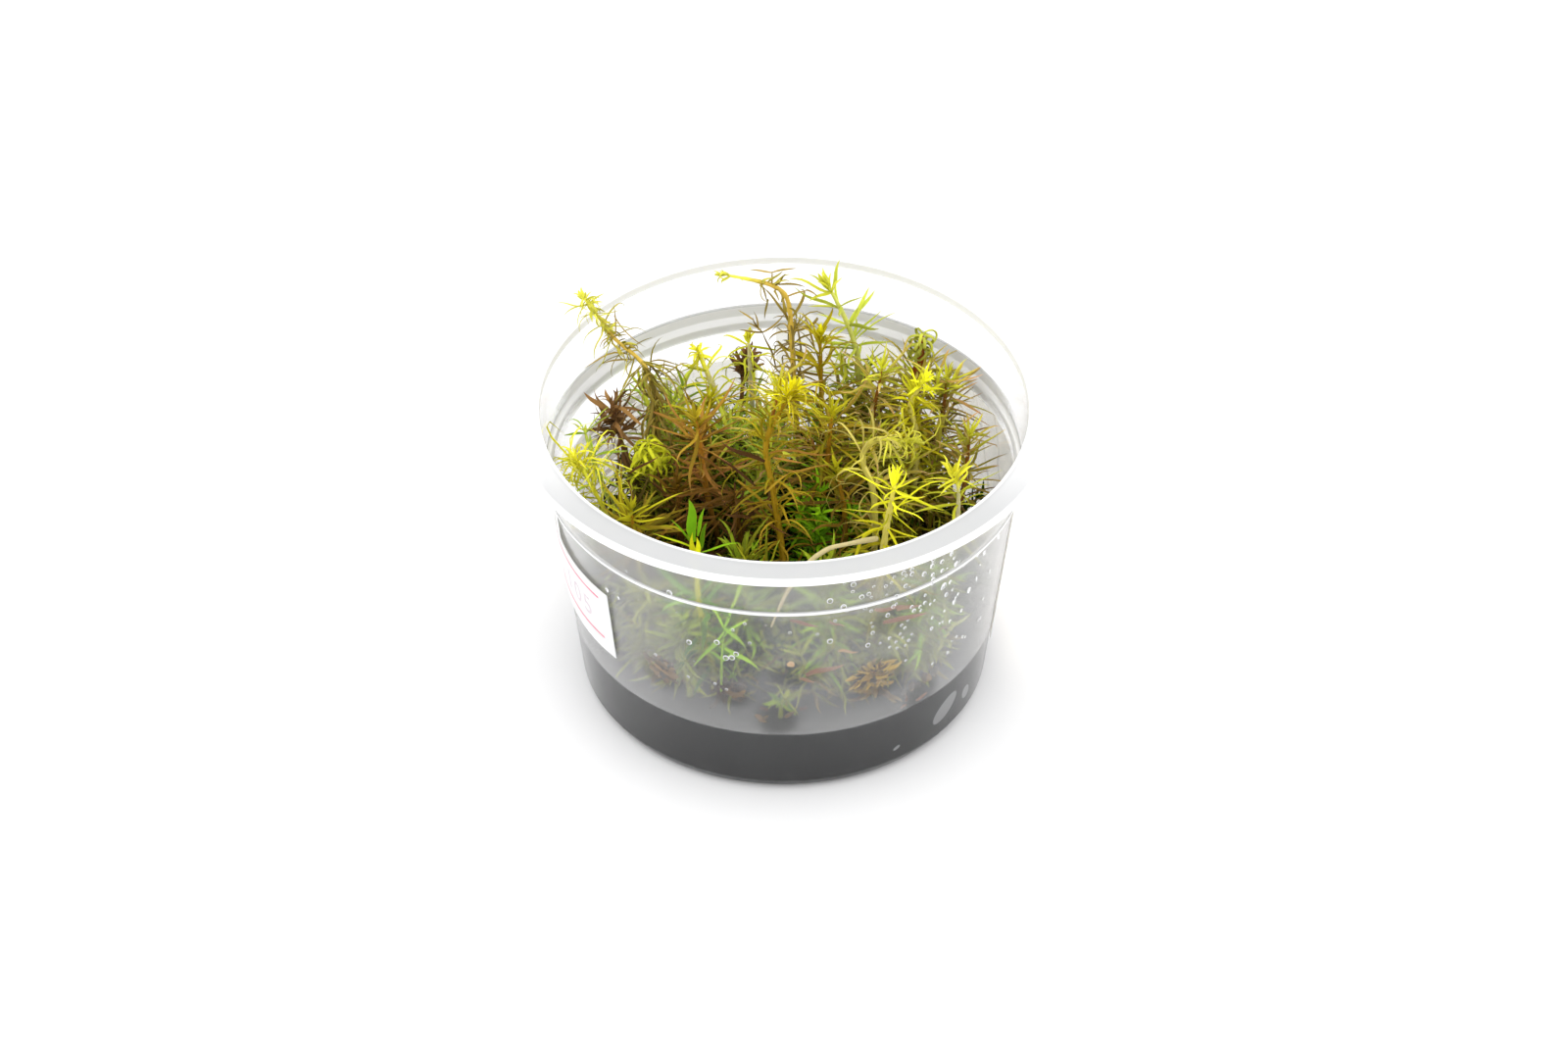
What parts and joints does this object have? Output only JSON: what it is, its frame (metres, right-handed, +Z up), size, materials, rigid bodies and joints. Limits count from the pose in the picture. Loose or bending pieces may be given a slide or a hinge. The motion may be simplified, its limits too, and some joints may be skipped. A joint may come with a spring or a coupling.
{
  "type": "potted tissue-culture plant",
  "caption": "Clump of whorly rotala shoots with whorled needle leaves, growing on dark gel in an open clear plastic culture cup with paper labels.",
  "frame": {"origin": "centre of the cup's base, on the surface it stands on", "axes": "+Z up through the cup's mouth; -Y towards the side that the picture shows; +X to its right"},
  "size_m": [0.102, 0.102, 0.0782],
  "materials": {
    "cup": "clear, slightly milky polypropylene with a soft gloss",
    "gel": "moist dark charcoal gel",
    "paper": "matt coated label paper",
    "leaf_yellow": "soft waxy young leaf, bright yellow-green",
    "leaf_olive": "soft waxy leaf, olive green",
    "leaf_red": "soft waxy leaf, reddish brown",
    "leaf_green": "soft waxy broad leaf, bright green",
    "leaf_dead": "limp wet dead leaf, dark brown"
  },
  "bodies": {
    "root": {"cup": "cup", "gel": "gel", "label_price": "paper", "label_back_large": "paper", "label_back_small": "paper", "runner_pale": "leaf_yellow", "shoot_back_arched": "leaf_olive", "shoot_left_tall": "leaf_olive", "shoot_star_centre": "leaf_yellow", "shoot_green_back": "leaf_green", "shoot_yellow_front": "leaf_yellow", "shoot_curl_right": "leaf_yellow", "shoot_star_right": "leaf_yellow", "shoot_left_head": "leaf_yellow", "shoot_rosette_left": "leaf_yellow", "shoot_left_mid": "leaf_red", "shoot_yellow_right": "leaf_olive", "shoot_yellow_back_left": "leaf_yellow", "shoot_curl_back": "leaf_red", "shoot_right_red": "leaf_red", "shoot_bud_back": "leaf_olive", "shoot_slim_back": "leaf_olive", "shoot_left_small": "leaf_green", "shoot_left_front": "leaf_olive", "shoot_green_front": "leaf_green", "shoot_dark_mid": "leaf_red", "shoot_mid_back": "leaf_red", "shoot_mid_right": "leaf_olive", "shoot_mid_left": "leaf_olive", "shoot_back_right": "leaf_olive", "shoot_right_edge": "leaf_red", "shoot_inner_right": "leaf_olive", "shoot_inner_left": "leaf_red", "shoot_front_left": "leaf_olive", "shoot_front_mid": "leaf_olive", "shoot_front_right": "leaf_olive", "shoot_low_green": "leaf_green", "shoot_small_front": "leaf_green", "dead_top_left": "leaf_dead", "dead_top_back": "leaf_dead", "dead_clump_left": "leaf_dead", "dead_clump_front": "leaf_dead", "dead_clump_right": "leaf_dead"}
  },
  "joints": []
}
